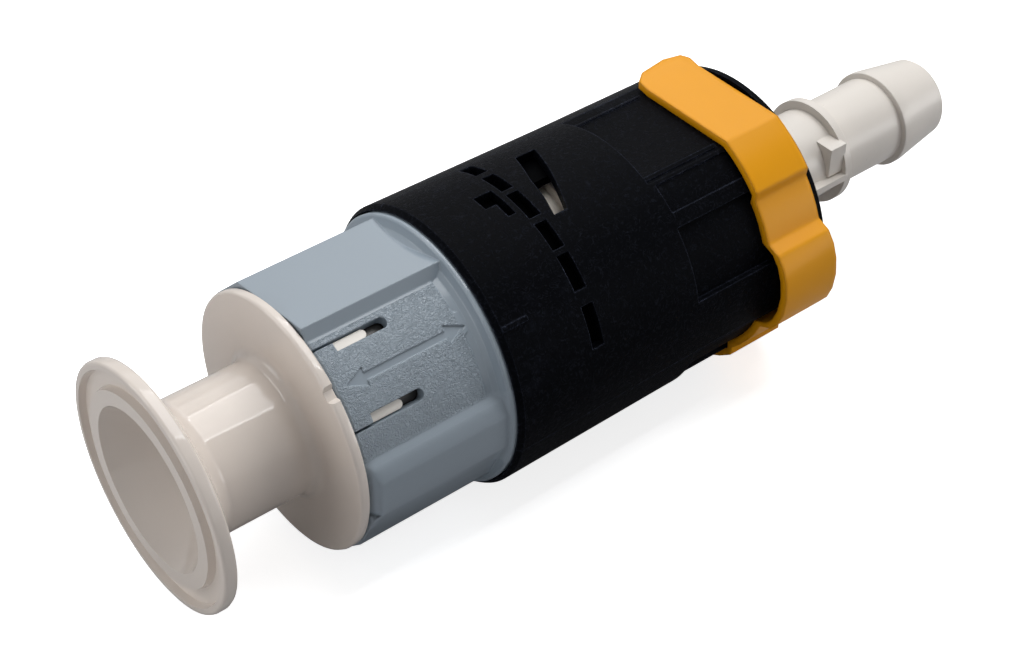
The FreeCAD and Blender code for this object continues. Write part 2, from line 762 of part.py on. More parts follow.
# Cam carrier: bell over the insert tube, toothed skirt, cam drum with two inclined tracks, stem holder
bell_in = "tube_radius + snug_gap"
bell_out = "tube_radius + snug_gap + bell_wall"
skirt_out = "collar_bore - slip_gap"
skirt_in = "collar_bore - slip_gap - skirt_wall"
place("web_back", "bell_floor + bell_web + 4")
carrier_points = [
    (bell_in + " + 0.4", "bell_start"),
    (bell_out, "bell_start"),
    (bell_out, "bell_floor - 0.6"),
    (skirt_in, "bell_floor - 0.6"),
    (skirt_in, "skirt_start"),
    (skirt_out, "skirt_start"),
    (skirt_out, "cam_start"),
    ("cam_radius", "cam_start"),
    ("cam_radius", "cam_end"),
    ("cam_radius - cam_wall", "cam_end"),
    ("cam_radius - cam_wall", "web_back"),
    ("carrier_tube", "web_back"),
    ("carrier_tube", "holder_start"),
    ("holder_radius", "holder_start + holder_floor / 2"),
    ("holder_radius", "holder_end"),
    ("stem_flange + snug_gap", "holder_end"),
    ("stem_flange + snug_gap", "stem_flange_at"),
    ("stem_socket", "stem_flange_at"),
    ("stem_socket", "stem_socket_start"),
    ("seat_radius", "stem_socket_start"),
    ("seat_radius", "bell_floor"),
    ("chamber_radius", "bell_floor"),
    ("chamber_radius", "chamber_start"),
    (bell_in, "chamber_start"),
    (bell_in, "bell_start + 0.4"),
]
carrier_turned = turned("carrier_turning", carrier_points)
fingers = []
for side, half_turn in (("front", "0"), ("back", "180")):
    for hand, sign in (("upper", "-"), ("lower", "+")):
        label = "%s_%s" % (side, hand)
        angle = "arrow_angle %s slot_offset + %s" % (sign, half_turn)
        fingers.append(block("finger_" + label, skirt_in + " + 0.1", skirt_out + " - 0.1", "finger_half",
                             "slot_start + slip_gap", "skirt_start - slot_start + 1", angle))
        fingers.append(block("tooth_" + label, skirt_in + " + 0.1", "tooth_top", "tooth_width / 2",
                             "slot_start + slip_gap", "tooth_length - tooth_width / 2", angle))
        fingers.append(peg("tooth_end_" + label, "tooth_width / 2", skirt_in + " + 0.1", "tooth_top",
                           "slot_start + slip_gap + tooth_length - tooth_width / 2", angle))
carrier_solid = fused("carrier_solid", [carrier_turned] + fingers)
tracks = []
for label, half_turn in (("first", "0"), ("second", "180")):
    disc = doc.addObject("Part::Cylinder", "track_disc_" + label)
    bind(disc, "Radius", "cam_radius + 6")
    bind(disc, "Height", "cam_track_width")
    tilt = doc.addObject("Part::Compound", "track_tilt_" + label)
    tilt.Links = [disc]
    bind(disc, "Placement.Base.z", "0 - cam_track_width / 2")
    tilt.Placement = FreeCAD.Placement(FreeCAD.Vector(), FreeCAD.Rotation(FreeCAD.Vector(1, 0, 0), 1))
    bind(tilt, "Placement.Rotation.Angle",
         "atan(0 - travel / (2 * sin(turn_range / 2) * (cam_radius - cam_track_depth / 2)))")
    bind(tilt, "Placement.Base.z", "cam_track_at - travel / 2")
    swept = cylinder("track_sector_" + label, "cam_radius + 4", "cam_start - 3", "cam_end - cam_start + 6",
                     "turn_range + 9", "0 - turn_range / 2 - 4.5")
    hollow = cylinder("track_core_" + label, "cam_radius - cam_track_depth", "cam_start - 4", "cam_end - cam_start + 8")
    shell = cut("track_shell_" + label, swept, [hollow])
    piece = common("track_piece_" + label, tilt, shell)
    tracks.append(around("track_turned_" + label, piece, "arm_angle + turn_range / 2 + " + half_turn))
node("cam_carrier", cut("carrier_cut", carrier_solid, tracks))

# Drive ring: black ring fixed in the sleeve, two arms and two follower pegs
drive_outer = "sleeve_mid_radius - sleeve_wall - snug_gap"
drive_parts = [ring("drive_band", "drive_inner", drive_outer, "drive_start", "drive_end")]
for label, half_turn in (("first", "0"), ("second", "180")):
    outer = cylinder("arm_outer_" + label, drive_outer, "drive_end - 1", "arm_end - drive_end + 1",
                     "2 * arm_spread", "arm_angle - arm_spread + " + half_turn)
    inner = cylinder("arm_inner_" + label, "arm_inner", "drive_end - 2", "arm_end - drive_end + 3")
    drive_parts.append(cut("arm_" + label, outer, [inner]))
    drive_parts.append(peg("follower_" + label, "follower_radius", "follower_depth", "arm_inner + 1",
                           "cam_track_at", "arm_angle + " + half_turn))
node("drive_ring", fused("drive_fused", drive_parts))

# Black sleeve: one turned body with windows, flats and recesses, then parted into two shells
zone_bore = "sleeve_mid_radius - sleeve_wall"
mouth_bore = "lip_radius + slip_gap"
place("mouth_end", "lip_end + slip_gap")
place("rib_two", "ring_end + thrust_thick + slip_gap")
sleeve_points = [
    (mouth_bore, "sleeve_front"),
    (mouth_bore + " + 0.1", "sleeve_front"),
    ("sleeve_radius - 0.2", "sleeve_front + mouth_bevel * 0.7"),
    ("sleeve_radius", "sleeve_front + mouth_bevel"),
    ("sleeve_mid_radius", "step_at"),
    ("sleeve_mid_radius", "sleeve_rear - 0.5"),
    ("sleeve_mid_radius - 0.5", "sleeve_rear"),
    ("rear_bore", "sleeve_rear"),
    ("rear_bore", "key_ring_at + key_ring_thick + snug_gap"),
    ("rear_bore + key_ring_height", "key_ring_at + key_ring_thick + snug_gap"),
    ("rear_bore + key_ring_height", "key_ring_at - snug_gap"),
    ("rear_bore", "key_ring_at - snug_gap"),
    ("rear_bore", "step_at"),
    (zone_bore, "step_at - 1"),
    (zone_bore, "rib_two + rib_thick"),
    ("rib_radius", "rib_two + rib_thick"),
    ("rib_radius", "rib_two"),
    (zone_bore, "rib_two"),
    (zone_bore, "ring_at - slip_gap"),
    ("rib_radius", "ring_at - slip_gap"),
    ("rib_radius", "mouth_end"),
    (mouth_bore, "mouth_end"),
]
sleeve_turned = turned("sleeve_turning", sleeve_points)


def sector(name, inner, start, length, low, high):
    """What lies outside a radius, between two angles."""
    outer = cylinder(name + "_outer", "sleeve_radius + 6", start, length, "(%s) - (%s)" % (high, low), low)
    core = cylinder(name + "_core", inner, "(%s) - 1" % start, "(%s) + 2" % length)
    return cut(name, outer, [core])


cuts = []
rear_cut = "rear_length + 2"
for name, angle in (("top", "0"), ("bottom", "180")):
    cuts.append(block(name + "_flat", "flat_height", "sleeve_radius + 6", "20", "step_at", rear_cut, angle))
for name, low, high in (
    ("side", "side_recess_from", "side_recess_to"),
    ("low", "seam_low + 1.2", "recess_low_end"),
    ("back_low", "180 + side_recess_from", "180 + side_recess_to"),
    ("back_high", "360 - side_recess_to", "360 - side_recess_from"),
):
    cuts.append(sector(name + "_recess", "side_recess_radius", "recess_start", rear_cut, low, high))
cuts.append(sector("narrow_band", "band_radius", "step_at + 2 * step_rim", rear_cut, "band_from", "band_to"))
window_floor = "sleeve_mid_radius - sleeve_wall - 2"
for letter, low, high in (
    ("a", "0 - 25", "0 - 14"),
    ("b", "0 - 10.5", "1.5"),
    ("c", "4.0", "18.0"),
    ("d", "21.0", "33.0"),
    ("e", "35.5", "50.0"),
    ("f", "56.0", "73.0"),
):
    cuts.append(sector("window_" + letter, window_floor, "window_front", "window_width", low, high))
for letter, ahead, length, low, high in (("a", "5.6", "4.3", "0 - 1.5", "6.0"), ("b", "3.1", "1.8", "5.5", "13.2")):
    cuts.append(sector("corner_window_" + letter, window_floor, "window_front - " + ahead, length, low, high))
view = new_body("view_window")
view_sketch = polygon(view, "view_outline", "YZ_Plane", [
    ("0 - 8.8", "window_front + 9.6"),
    ("0 - 8.8", "window_front + 14.4"),
    ("0", "window_front + 11.3"),
    ("8.7", "window_front + 8.1"),
    ("8.7", "window_front + 4.9"),
    ("4.4", "window_front + 5.9"),
    ("0 - 0.6", "window_front + 6.7"),
])
view_pad = view.newObject("PartDesign::Pad", "view_pad")
view_pad.Profile = view_sketch
bind(view_pad, "Length", "8")
view.Tip = view_pad
bind(view, "Placement.Base.x", "sleeve_mid_radius - 6")
cuts.append(around("view_turned", view, "3.5"))
ridge_bar = block("ridge_bar", "flat_height", "bar_height", "bar_width / 2", "step_at", "bar_end - step_at", "bar_angle")
tick = block("tick_bar", "sleeve_radius - 0.6", "sleeve_radius + tick_height", "tick_width / 2",
             "sleeve_front + mouth_bevel", "tick_length", "tick_angle")
edge_line = block("edge_line", "flat_height - 0.5", "flat_height + edge_line_height", "edge_line_width / 2",
                  "recess_start", "bar_end - recess_start", "0", "0 - edge_line_side")
sleeve_cut = cut("sleeve_cut", sleeve_turned, cuts)
sleeve_solid = fused("sleeve_solid", [sleeve_cut, ridge_bar, tick, edge_line])
cover_sector = cylinder("cover_sector", "sleeve_radius + 8", "sleeve_front - 2", "sleeve_rear - sleeve_front + 4",
                        "seam_low - seam_top - 2 * seam_angle", "seam_top + seam_angle")
back_sector = cylinder("back_sector", "sleeve_radius + 8", "sleeve_front - 2", "sleeve_rear - sleeve_front + 4",
                       "seam_low - seam_top", "seam_top")
node("sleeve_cover_shell", common("cover_common", sleeve_solid, cover_sector))
node("sleeve_back_shell", cut("back_cut", sleeve_solid, [back_sector]))

# Thrust washer between the retaining ring and the second rib
node("thrust_washer", ring("thrust_ring", "neck_radius + snug_gap", "ring_outer - snug_gap / 2",
                           "ring_at + ring_thick + slip_gap / 2", "ring_at + ring_thick + thrust_thick + slip_gap / 2"))

# End plate with its keyed spigot ring and an inner hub, and the bush that guides the stem
spigot = "(rear_bore - snug_gap)"
node("sleeve_end_plate", turned("end_plate_turning", [
    ("bush_radius + snug_gap", "bush_start"),
    ("hub_radius_outer", "bush_start"),
    ("hub_radius_outer", "plate_start"),
    (spigot + " - spigot_wall", "plate_start"),
    (spigot + " - spigot_wall", "spigot_start"),
    (spigot, "spigot_start"),
    (spigot, "key_ring_at"),
    (spigot + " + key_ring_height", "key_ring_at"),
    (spigot + " + key_ring_height", "key_ring_at + key_ring_thick"),
    (spigot, "key_ring_at + key_ring_thick"),
    (spigot, "plate_start"),
    ("end_plate_radius", "plate_start"),
    ("end_plate_radius", "plate_end - 0.5"),
    ("end_plate_radius - 0.5", "plate_end"),
    ("bush_radius + snug_gap", "plate_end"),
]))
place("wiper_low", "plate_end - wiper_depth")
place("wiper_high", "wiper_low + wiper_thick")
node("stem_bush", turned("bush_turning", [
    ("stub_radius + snug_gap", "wiper_low"),
    ("stub_radius + snug_gap", "bush_start"),
    ("bush_radius", "bush_start"),
    ("bush_radius", "plate_end + 0.05"),
    ("bush_flange", "plate_end + 0.05"),
    ("bush_flange", "plate_end + bush_flange_thick"),
    ("stub_radius + snug_gap", "plate_end + bush_flange_thick"),
    ("stub_radius + snug_gap", "wiper_high"),
    ("stub_radius + wiper_height", "wiper_high"),
    ("stub_radius + wiper_height", "wiper_low"),
]))
node("stem_wiper", ring("wiper_ring", "stub_radius + seal_gap", "stub_radius + wiper_height - seal_gap",
                        "wiper_low + seal_gap", "wiper_high - seal_gap"))

# Barb stem: spigot with seal groove, flange, stub with lug and rib, ring, shank and one barb
stem_groove_low = "stem_seal_at - seal_groove_width / 2"
stem_groove_high = "stem_seal_at + seal_groove_width / 2"
stem_floor = "stem_socket - snug_gap - seal_groove_depth"
stem_points = [
    ("seat_radius", "stem_socket_start + snug_gap"),
    ("stem_socket - snug_gap", "stem_socket_start + snug_gap"),
    ("stem_socket - snug_gap", stem_groove_low),
    (stem_floor, stem_groove_low),
    (stem_floor, stem_groove_high),
    ("stem_socket - snug_gap", stem_groove_high),
    ("stem_socket - snug_gap", "stem_flange_at + 0.05"),
    ("stem_flange", "stem_flange_at + 0.05"),
    ("stem_flange", "stem_flange_end"),
    ("stub_radius", "stem_flange_end"),
    ("stub_radius", "collar_ring_at"),
    ("collar_ring_radius", "collar_ring_at"),
    ("collar_ring_radius", "collar_ring_end"),
    ("shank_radius", "collar_ring_end"),
    ("shank_radius", "barb_at"),
    ("barb_crest - 0.15", "barb_at"),
    ("barb_crest", "barb_at + 0.15"),
    ("barb_crest", "barb_at + barb_land"),
    ("barb_tip + 0.2", "stem_end - tip_round"),
    ("barb_tip - tip_round * 0.3", "stem_end - tip_round * 0.3"),
    ("barb_tip - tip_round", "stem_end"),
    ("stem_bore", "stem_end"),
    ("stem_bore", "stem_socket_start + 8"),
]


def upright_block(name, low, high, inner, outer, length):
    """A block square to the flow axis that ends in the stub ring."""
    box = doc.addObject("Part::Box", name)
    bind(box, "Length", "%s - (%s)" % (high, low))
    bind(box, "Width", "%s - (%s)" % (outer, inner))
    bind(box, "Height", length + " + 0.5")
    bind(box, "Placement.Base.x", low)
    bind(box, "Placement.Base.y", inner)
    bind(box, "Placement.Base.z", "collar_ring_at - " + length)
    return box


lug = upright_block("lug", "lug_foot", "lug_top", "lug_inner", "lug_side", "lug_length")
key_rib = upright_block("key_rib", "key_rib_low", "key_rib_top", "rib_inner", "key_rib_side", "key_rib_length")
lug_bore = cylinder("stem_bore_clear", "stem_bore", "collar_ring_at - lug_length - 1", "lug_length + 2")
stem_fused = fused("stem_fused", [turned("stem_turning", stem_points), lug, key_rib])
node("barb_stem", cut("stem_cut", stem_fused, [lug_bore]))
oring("stem_seal", "stem_socket - seal_gap - %s / 2" % seal_section, "stem_seal_at")
node("stem_lock_ring", ring("lock_ring", "stub_radius + slip_gap", "stem_flange + snug_gap / 2",
                            "stem_flange_end + 0.05",
                            "stem_flange_end + lock_ring_thick"))

# Yellow clip: a U of even wall over flats, shoulders, side recesses and one hollow lobe
flat_in = "flat_height + clip_gap"
high_in = "sleeve_mid_radius + clip_gap"
low_in = "side_recess_radius + clip_gap"


def clip_half(sign, extra):
    """Half of the clip outline from the tab to the lobe, as formula pairs."""
    up = "(%s%s)" % (flat_in, extra)
    pairs = [
        (up + " + clip_tab_rise", "0 - clip_tab_end"),
        (up, "0 - clip_tab_start"),
        (up, "(%s%s) * sin(clip_flat_angle)" % (high_in, extra)),
    ]
    for part in (0.2, 0.4, 0.6, 0.8, 1.0):
        angle = "clip_flat_angle + (clip_step - clip_flat_angle) * %s" % part
        pairs.append(polar("%s%s" % (high_in, extra), angle))
    if sign < 0:
        pairs = pairs[:2] + [polar("%s%s" % (high_in, extra), "180 - clip_low_bend"),
                             polar("%s%s" % (high_in, extra), "(180 - clip_low_bend + 180 - clip_low_out) / 2"),
                             polar("%s%s" % (high_in, extra), "180 - clip_low_out")]
    low_from = "clip_low" if sign > 0 else "(180 - clip_low_end)"
    for part in (0, 0.25, 0.5, 0.75, 1.0):
        angle = "%s + (clip_lobe_start - %s) * %s" % (low_from, low_from, part)
        pairs.append(polar("%s%s" % (low_in, extra), angle))
    lobe_half = "(%s%s) * cos(clip_lobe_start)" % (low_in, extra)
    lobe_root = "(%s%s) * sin(clip_lobe_start)" % (low_in, extra)
    reach = "(clip_lobe_reach - clip_wall%s)" % extra
    for angle in (28, 48, 68):
        rise = "%s + (%s - %s) * cos(%s)" % (lobe_root, reach, lobe_root, 90 - angle)
        pairs.append(("%s * cos(%s)" % (lobe_half, angle), rise))
    if sign < 0:
        pairs = [("0 - (%s)" % first, second) for first, second in pairs]
    return pairs


reach_in = "clip_lobe_reach - clip_wall"
outer_line = clip_half(1, " + clip_wall") + [("0", "clip_lobe_reach")] + clip_half(-1, " + clip_wall")[::-1]
inner_line = clip_half(1, "") + [("0", reach_in)] + clip_half(-1, "")[::-1]
clip_band = prism("clip_prism", outer_line + inner_line[::-1], "clip_front", "clip_width")
tab_point = "0 - clip_tab_end"
tab_side = "0 - clip_tab_end + clip_tab_point"
tab_corner = "0 - clip_tab_end + clip_tab_corner"
tab_cut = new_body("tab_cut")
tab_sketch = polygon(tab_cut, "tab_outline", "YZ_Plane", [
    (tab_corner, "clip_front - 1"),
    (tab_corner, "clip_front"),
    (tab_side, "clip_front + 2.2"),
    (tab_point, "clip_front + clip_width * 0.62"),
    (tab_side, "clip_front + clip_width - 1.2"),
    (tab_corner, "clip_front + clip_width"),
    (tab_corner, "clip_front + clip_width + 1"),
    (tab_point + " - 4", "clip_front + clip_width + 1"),
    (tab_point + " - 4", "clip_front - 1"),
])
tab_pad = tab_cut.newObject("PartDesign::Pad", "tab_pad")
tab_pad.Profile = tab_sketch
tab_pad.Midplane = True
bind(tab_pad, "Length", "2 * sleeve_radius + 20")
tab_cut.Tip = tab_pad
node("locking_clip", cut("clip_cut", clip_band, [tab_cut]))

doc.recompute()
os.makedirs("parts", exist_ok=True)
bad = []
for thing in doc.Objects:
    if "Invalid" in thing.State or "Error" in thing.State:
        bad.append(thing.Name)
for final in nodes:
    if final.Shape.isNull() or not final.Shape.isValid() or len(final.Shape.Solids) != 1:
        bad.append(final.Name + " solids")
    else:
        final.Shape.exportStep("parts/%s.step" % final.Label)
print("nodes", len(nodes), "bad", bad)
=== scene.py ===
import bpy
import math
from mathutils import Matrix, Vector


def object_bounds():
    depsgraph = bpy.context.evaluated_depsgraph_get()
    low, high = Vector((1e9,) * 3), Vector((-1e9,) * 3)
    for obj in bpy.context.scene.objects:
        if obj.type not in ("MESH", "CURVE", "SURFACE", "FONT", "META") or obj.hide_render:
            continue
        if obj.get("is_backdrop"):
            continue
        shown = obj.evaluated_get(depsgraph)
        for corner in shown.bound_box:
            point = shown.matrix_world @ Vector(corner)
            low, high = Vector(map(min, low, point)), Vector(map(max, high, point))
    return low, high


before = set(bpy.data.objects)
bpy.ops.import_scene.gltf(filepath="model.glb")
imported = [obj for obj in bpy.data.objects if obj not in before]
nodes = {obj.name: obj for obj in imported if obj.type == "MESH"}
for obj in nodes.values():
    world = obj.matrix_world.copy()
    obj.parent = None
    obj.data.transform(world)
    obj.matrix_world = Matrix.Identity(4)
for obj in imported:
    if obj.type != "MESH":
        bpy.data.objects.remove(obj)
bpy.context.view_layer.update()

MM = 0.001
RIM_TO_FACE = 1.45 * MM    # the flange's face lies this far to -X of the origin
CLIP_MIDDLE = 133.0 * MM - RIM_TO_FACE
HALF_TURN = 180.0          # degrees
NOISE_MEAN = 0.5
FLOAT = "NodeSocketFloat"
COLOUR = "NodeSocketColor"


# Helpers for the node trees

def new_group(name, inputs, outputs):
    """A shader group with its named sockets, and its two end nodes."""
    tree = bpy.data.node_groups.new(name, "ShaderNodeTree")
    for label, kind, default in inputs:
        socket = tree.interface.new_socket(name=label, in_out="INPUT", socket_type=kind)
        socket.default_value = default
    for label, kind in outputs:
        tree.interface.new_socket(name=label, in_out="OUTPUT", socket_type=kind)
    start = tree.nodes.new("NodeGroupInput")
    end = tree.nodes.new("NodeGroupOutput")
    return tree, start, end


def add(tree, kind, **values):
    """A new node; each value goes to its property or, with spaces for the underscores, its input."""
    node = tree.nodes.new(kind)
    for key, value in values.items():
        if hasattr(node, key):
            setattr(node, key, value)
        else:
            node.inputs[key.replace("_", " ")].default_value = value
    return node


def feed(tree, value, socket):
    """Links another socket into this one, or sets it to a number."""
    if hasattr(value, "is_output"):
        tree.links.new(value, socket)
    else:
        socket.default_value = value


def math_node(tree, operation, *items):
    """One operation on sockets and numbers."""
    node = add(tree, "ShaderNodeMath", operation=operation)
    for item, socket in zip(items, node.inputs):
        feed(tree, item, socket)
    return node.outputs[0]


def total(tree, first, *others):
    """The sum of sockets and numbers."""
    for item in others:
        first = math_node(tree, "ADD", first, item)
    return first


def product(tree, first, *others):
    """The product of sockets and numbers."""
    for item in others:
        first = math_node(tree, "MULTIPLY", first, item)
    return first


def dot(tree, first, second):
    node = add(tree, "ShaderNodeVectorMath", operation="DOT_PRODUCT")
    tree.links.new(first, node.inputs[0])
    tree.links.new(second, node.inputs[1])
    return node.outputs["Value"]


def scaled(tree, vector, factor):
    """A colour or a direction times a number."""
    node = add(tree, "ShaderNodeVectorMath", operation="SCALE")
    tree.links.new(vector, node.inputs[0])
    tree.links.new(factor, node.inputs["Scale"])
    return node.outputs[0]


def ramp(tree, value, low, high):
    """0 below the low value, 1 above the high one, smooth between them."""
    node = add(tree, "ShaderNodeMapRange", interpolation_type="SMOOTHSTEP", From_Min=low, From_Max=high)
    tree.links.new(value, node.inputs["Value"])
    return node.outputs["Result"]


def between(tree, value, low, high):
    """1 between two values and 0 elsewhere, with sharp ends."""
    above = math_node(tree, "GREATER_THAN", value, low)
    return product(tree, above, math_node(tree, "LESS_THAN", value, high))


def noise(tree, place, scale, detail=4.0, rough=0.6, bend=0.0):
    """Noise about a mean of one half; the scale is in waves a metre."""
    node = add(tree, "ShaderNodeTexNoise", Detail=detail, Roughness=rough, Distortion=bend)
    tree.links.new(place, node.inputs["Vector"])
    feed(tree, scale, node.inputs["Scale"])
    return node.outputs["Fac"]


def from_mean(tree, value):
    """How far noise is above or below its mean."""
    return math_node(tree, "SUBTRACT", value, NOISE_MEAN)


def crease(tree, value, width):
    """0 along the winding lines where noise crosses its mean, 1 away from them."""
    return ramp(tree, math_node(tree, "ABSOLUTE", from_mean(tree, value)), 0.0, width)


def own_place(tree):
    """The place on the piece, in metres of the frame at rest."""
    return add(tree, "ShaderNodeTexCoord").outputs["Object"]


def split(tree, place):
    """A place as three numbers: along the flow axis, across it and up."""
    node = add(tree, "ShaderNodeSeparateXYZ")
    tree.links.new(place, node.inputs[0])
    return node.outputs


def axis_radius(tree, across, up):
    """The distance from the flow axis."""
    return math_node(tree, "SQRT", total(tree, product(tree, across, across), product(tree, up, up)))


def axis_turn(tree, across, up):
    """Degrees about the flow axis, from the top towards -Y, the same again after half a turn."""
    turn = math_node(tree, "ARCTAN2", product(tree, across, -1.0), up)
    return math_node(tree, "FLOORED_MODULO", math_node(tree, "DEGREES", turn), HALF_TURN)


# Skins: shader groups that put out a colour, a roughness and a height

SKIN_INPUTS = (
    ("Grain Scale", FLOAT, 900.0), ("Drift Scale", FLOAT, 40.0), ("Drift Amount", FLOAT, 0.06),
    ("Colour", COLOUR, (0.5, 0.5, 0.5, 1.0)), ("Roughness", FLOAT, 0.4), ("Roughness Swing", FLOAT, 0.08),
)
SKIN_OUTPUTS = (("Colour", COLOUR), ("Roughness", FLOAT), ("Height", FLOAT))
DRIFT_SPAN = 2.0    # noise strays half a unit either way, so this makes the drift a full share


def new_skin(name, *own_inputs):
    """A skin's group with the sockets that all skins share and its own, and the place on the piece."""
    tree, start, end = new_group(name, SKIN_INPUTS + own_inputs, SKIN_OUTPUTS)
    return tree, start, end, own_place(tree)


def grain_and_drift(tree, start, place, grain=(4.0, 0.6), drift=(3.0, 0.55)):
    """Noise for the fine grain and the slow drift; each pair is its detail and roughness."""
    fine = noise(tree, place, start.outputs["Grain Scale"], *grain)
    slow = noise(tree, place, start.outputs["Drift Scale"], *drift)
    return fine, slow


def rough_swing(tree, start, fine):
    """How much the grain adds to the roughness or takes from it."""
    return product(tree, from_mean(tree, fine), start.outputs["Roughness Swing"])


def close_skin(tree, start, end, colour, slow, rough, height):
    """Ends a skin's group: the colour with its slow drift, the roughness and the height."""
    drift = product(tree, from_mean(tree, slow), start.outputs["Drift Amount"])
    bright = total(tree, product(tree, drift, DRIFT_SPAN), 1.0)
    tree.links.new(scaled(tree, colour, bright), end.inputs["Colour"])
    tree.links.new(rough, end.inputs["Roughness"])
    tree.links.new(height, end.inputs["Height"])


# Plain moulded skin

MARK_SCALE = 90.0
MARK_ROUGHER = 0.03


def make_grain_group():
    """Fine spark-eroded mould texture, faint handling marks and slow colour drift."""
    tree, start, end, place = new_skin("moulded_grain")
    fine, slow = grain_and_drift(tree, start, place)
    marks = ramp(tree, noise(tree, place, MARK_SCALE, detail=3.0, rough=0.5), 0.50, 0.75)
    rough = total(tree, start.outputs["Roughness"], rough_swing(tree, start, fine),
                  product(tree, marks, MARK_ROUGHER))
    close_skin(tree, start, end, start.outputs["Colour"], slow, rough, fine)
    return tree


# Collar skin

WRINKLE_SCALE = 1350.0
WRINKLE_BEND = 1.4
WRINKLE_WIDTH = 0.17
WRINKLE_HEIGHT = 0.75
PEBBLE_SCALE = 2400.0
PEBBLE_HEIGHT = 0.30
FIELD_ROUGHER = 0.14
FIELD_GRAIN = 0.06


def make_field_group():
    """Leather-like wrinkles that only cover the recessed fields of the collar; the rest stays smooth."""
    tree, start, end, place = new_skin(
        "wrinkled_fields", ("Field Radius Low", FLOAT, 25.24 * MM), ("Field Radius High", FLOAT, 25.6 * MM),
        ("Field End", FLOAT, 56.35 * MM), ("Field Foot", FLOAT, 20.3), ("Field Grip", FLOAT, 74.5))
    given = start.outputs
    flow, across, up = split(tree, place)
    at_radius = between(tree, axis_radius(tree, across, up),
                        given["Field Radius Low"], given["Field Radius High"])
    ahead = math_node(tree, "LESS_THAN", flow, given["Field End"])
    off_pads = between(tree, axis_turn(tree, across, up), given["Field Foot"], given["Field Grip"])
    field = product(tree, at_radius, ahead, off_pads)
    fine, slow = grain_and_drift(tree, start, place)
    winding = noise(tree, place, WRINKLE_SCALE, detail=1.0, rough=0.5, bend=WRINKLE_BEND)
    pebbles = ramp(tree, noise(tree, place, PEBBLE_SCALE, detail=1.0, rough=0.5), 0.30, 0.70)
    leather = total(tree, product(tree, crease(tree, winding, WRINKLE_WIDTH), WRINKLE_HEIGHT),
                    product(tree, pebbles, PEBBLE_HEIGHT))
    rough = total(tree, given["Roughness"], product(tree, field, FIELD_ROUGHER),
                  rough_swing(tree, start, fine))
    height = total(tree, product(tree, leather, field), product(tree, fine, FIELD_GRAIN))
    close_skin(tree, start, end, given["Colour"], slow, rough, height)
    return tree


# Black resin skin

FIBRE_SCALE = 480.0
FIBRE_BEND = 2.4
FIBRE_WIDTH = 0.05
BREAK_SCALE = 900.0
FIBRE_PALER = 3.2
FIBRE_ROUGHER = -0.10    # the fibres shine a little
FIBRE_HEIGHT = 0.6
SCUFF_PALER = 2.4


def make_fibre_group():
    """Glass-filled black resin: short pale fibres at all angles in a fine matt skin, and pale scuffs."""
    tree, start, end, place = new_skin("fibre_skin")
    fine, slow = grain_and_drift(tree, start, place, grain=(5.0, 0.7), drift=(8.0, 0.8))
    winding = noise(tree, place, FIBRE_SCALE, detail=2.0, rough=0.5, bend=FIBRE_BEND)
    strands = math_node(tree, "SUBTRACT", 1.0, crease(tree, winding, FIBRE_WIDTH))
    breaks = ramp(tree, noise(tree, place, BREAK_SCALE, detail=2.0, rough=0.6), 0.38, 0.62)
    fibres = product(tree, strands, breaks)
    scuffs = ramp(tree, noise(tree, place, MARK_SCALE, detail=8.0, rough=0.75), 0.55, 0.75)
    paler = total(tree, product(tree, fibres, FIBRE_PALER), product(tree, scuffs, SCUFF_PALER), 1.0)
    rough = total(tree, start.outputs["Roughness"], rough_swing(tree, start, fine),
                  product(tree, fibres, FIBRE_ROUGHER))
    height = total(tree, product(tree, fibres, FIBRE_HEIGHT), fine)
    close_skin(tree, start, end, scaled(tree, start.outputs["Colour"], paler), slow, rough, height)
    return tree


# Carrier skin, with painted shade in the collar's slots

def make_carrier_shade_group():
    """The carrier's colour as given where it shows through the sleeve, and dimmed as painted shade down in
    the collar's slots.
    """
    tree, start, end, place = new_skin(
        "carrier_shade_skin", ("Shade End", FLOAT, 50.0 * MM), ("Shade Radius", FLOAT, 22.95 * MM),
        ("Shade", FLOAT, 0.05))
    given = start.outputs
    flow, across, up = split(tree, place)
    # Painted shade: the colour is dimmed near to black inside the shade radius and ahead of the shade end,
    # where the carrier lies under the collar
    in_slot_shade = product(tree, math_node(tree, "LESS_THAN", axis_radius(tree, across, up), given["Shade Radius"]),
                   math_node(tree, "LESS_THAN", flow, given["Shade End"]))
    painted_shade_dimming = product(tree, math_node(tree, "SUBTRACT", given["Shade"], 1.0), in_slot_shade)
    colour = scaled(tree, given["Colour"], total(tree, painted_shade_dimming, 1.0))
    fine, slow = grain_and_drift(tree, start, place)
    rough = total(tree, given["Roughness"], rough_swing(tree, start, fine))
    close_skin(tree, start, end, colour, slow, rough, fine)
    return tree


# Parting line

SEAM_LABELS = ("Along X", "Along Y", "Along Z", "Offset")


def make_line_group():
    """A parting line: a faint raised seam where a plane through the piece meets its skin."""
    tree, start, end = new_group(
        "parting_line", (
            ("Along X", FLOAT, 0.0), ("Along Y", FLOAT, 0.0), ("Along Z", FLOAT, 1.0),
            ("Offset", FLOAT, 0.0), ("Half Width", FLOAT, 0.07 * MM), ("Height", FLOAT, 0.0)),
        (("Height", FLOAT),))
    given = start.outputs
    normal = add(tree, "ShaderNodeCombineXYZ")
    for label, socket in zip(SEAM_LABELS[:3], normal.inputs):
        tree.links.new(given[label], socket)
    reach = dot(tree, own_place(tree), normal.outputs[0])
    away = math_node(tree, "ABSOLUTE", math_node(tree, "SUBTRACT", reach, given["Offset"]))
    share = math_node(tree, "DIVIDE", away, given["Half Width"])
    seam = math_node(tree, "SUBTRACT", 1.0, math_node(tree, "MINIMUM", share, 1.0))
    tree.links.new(total(tree, seam, given["Height"]), end.inputs["Height"])
    return tree


grain_group = make_grain_group()
field_group = make_field_group()
fibre_group = make_fibre_group()
carrier_shade_group = make_carrier_shade_group()
line_group = make_line_group()


# Materials

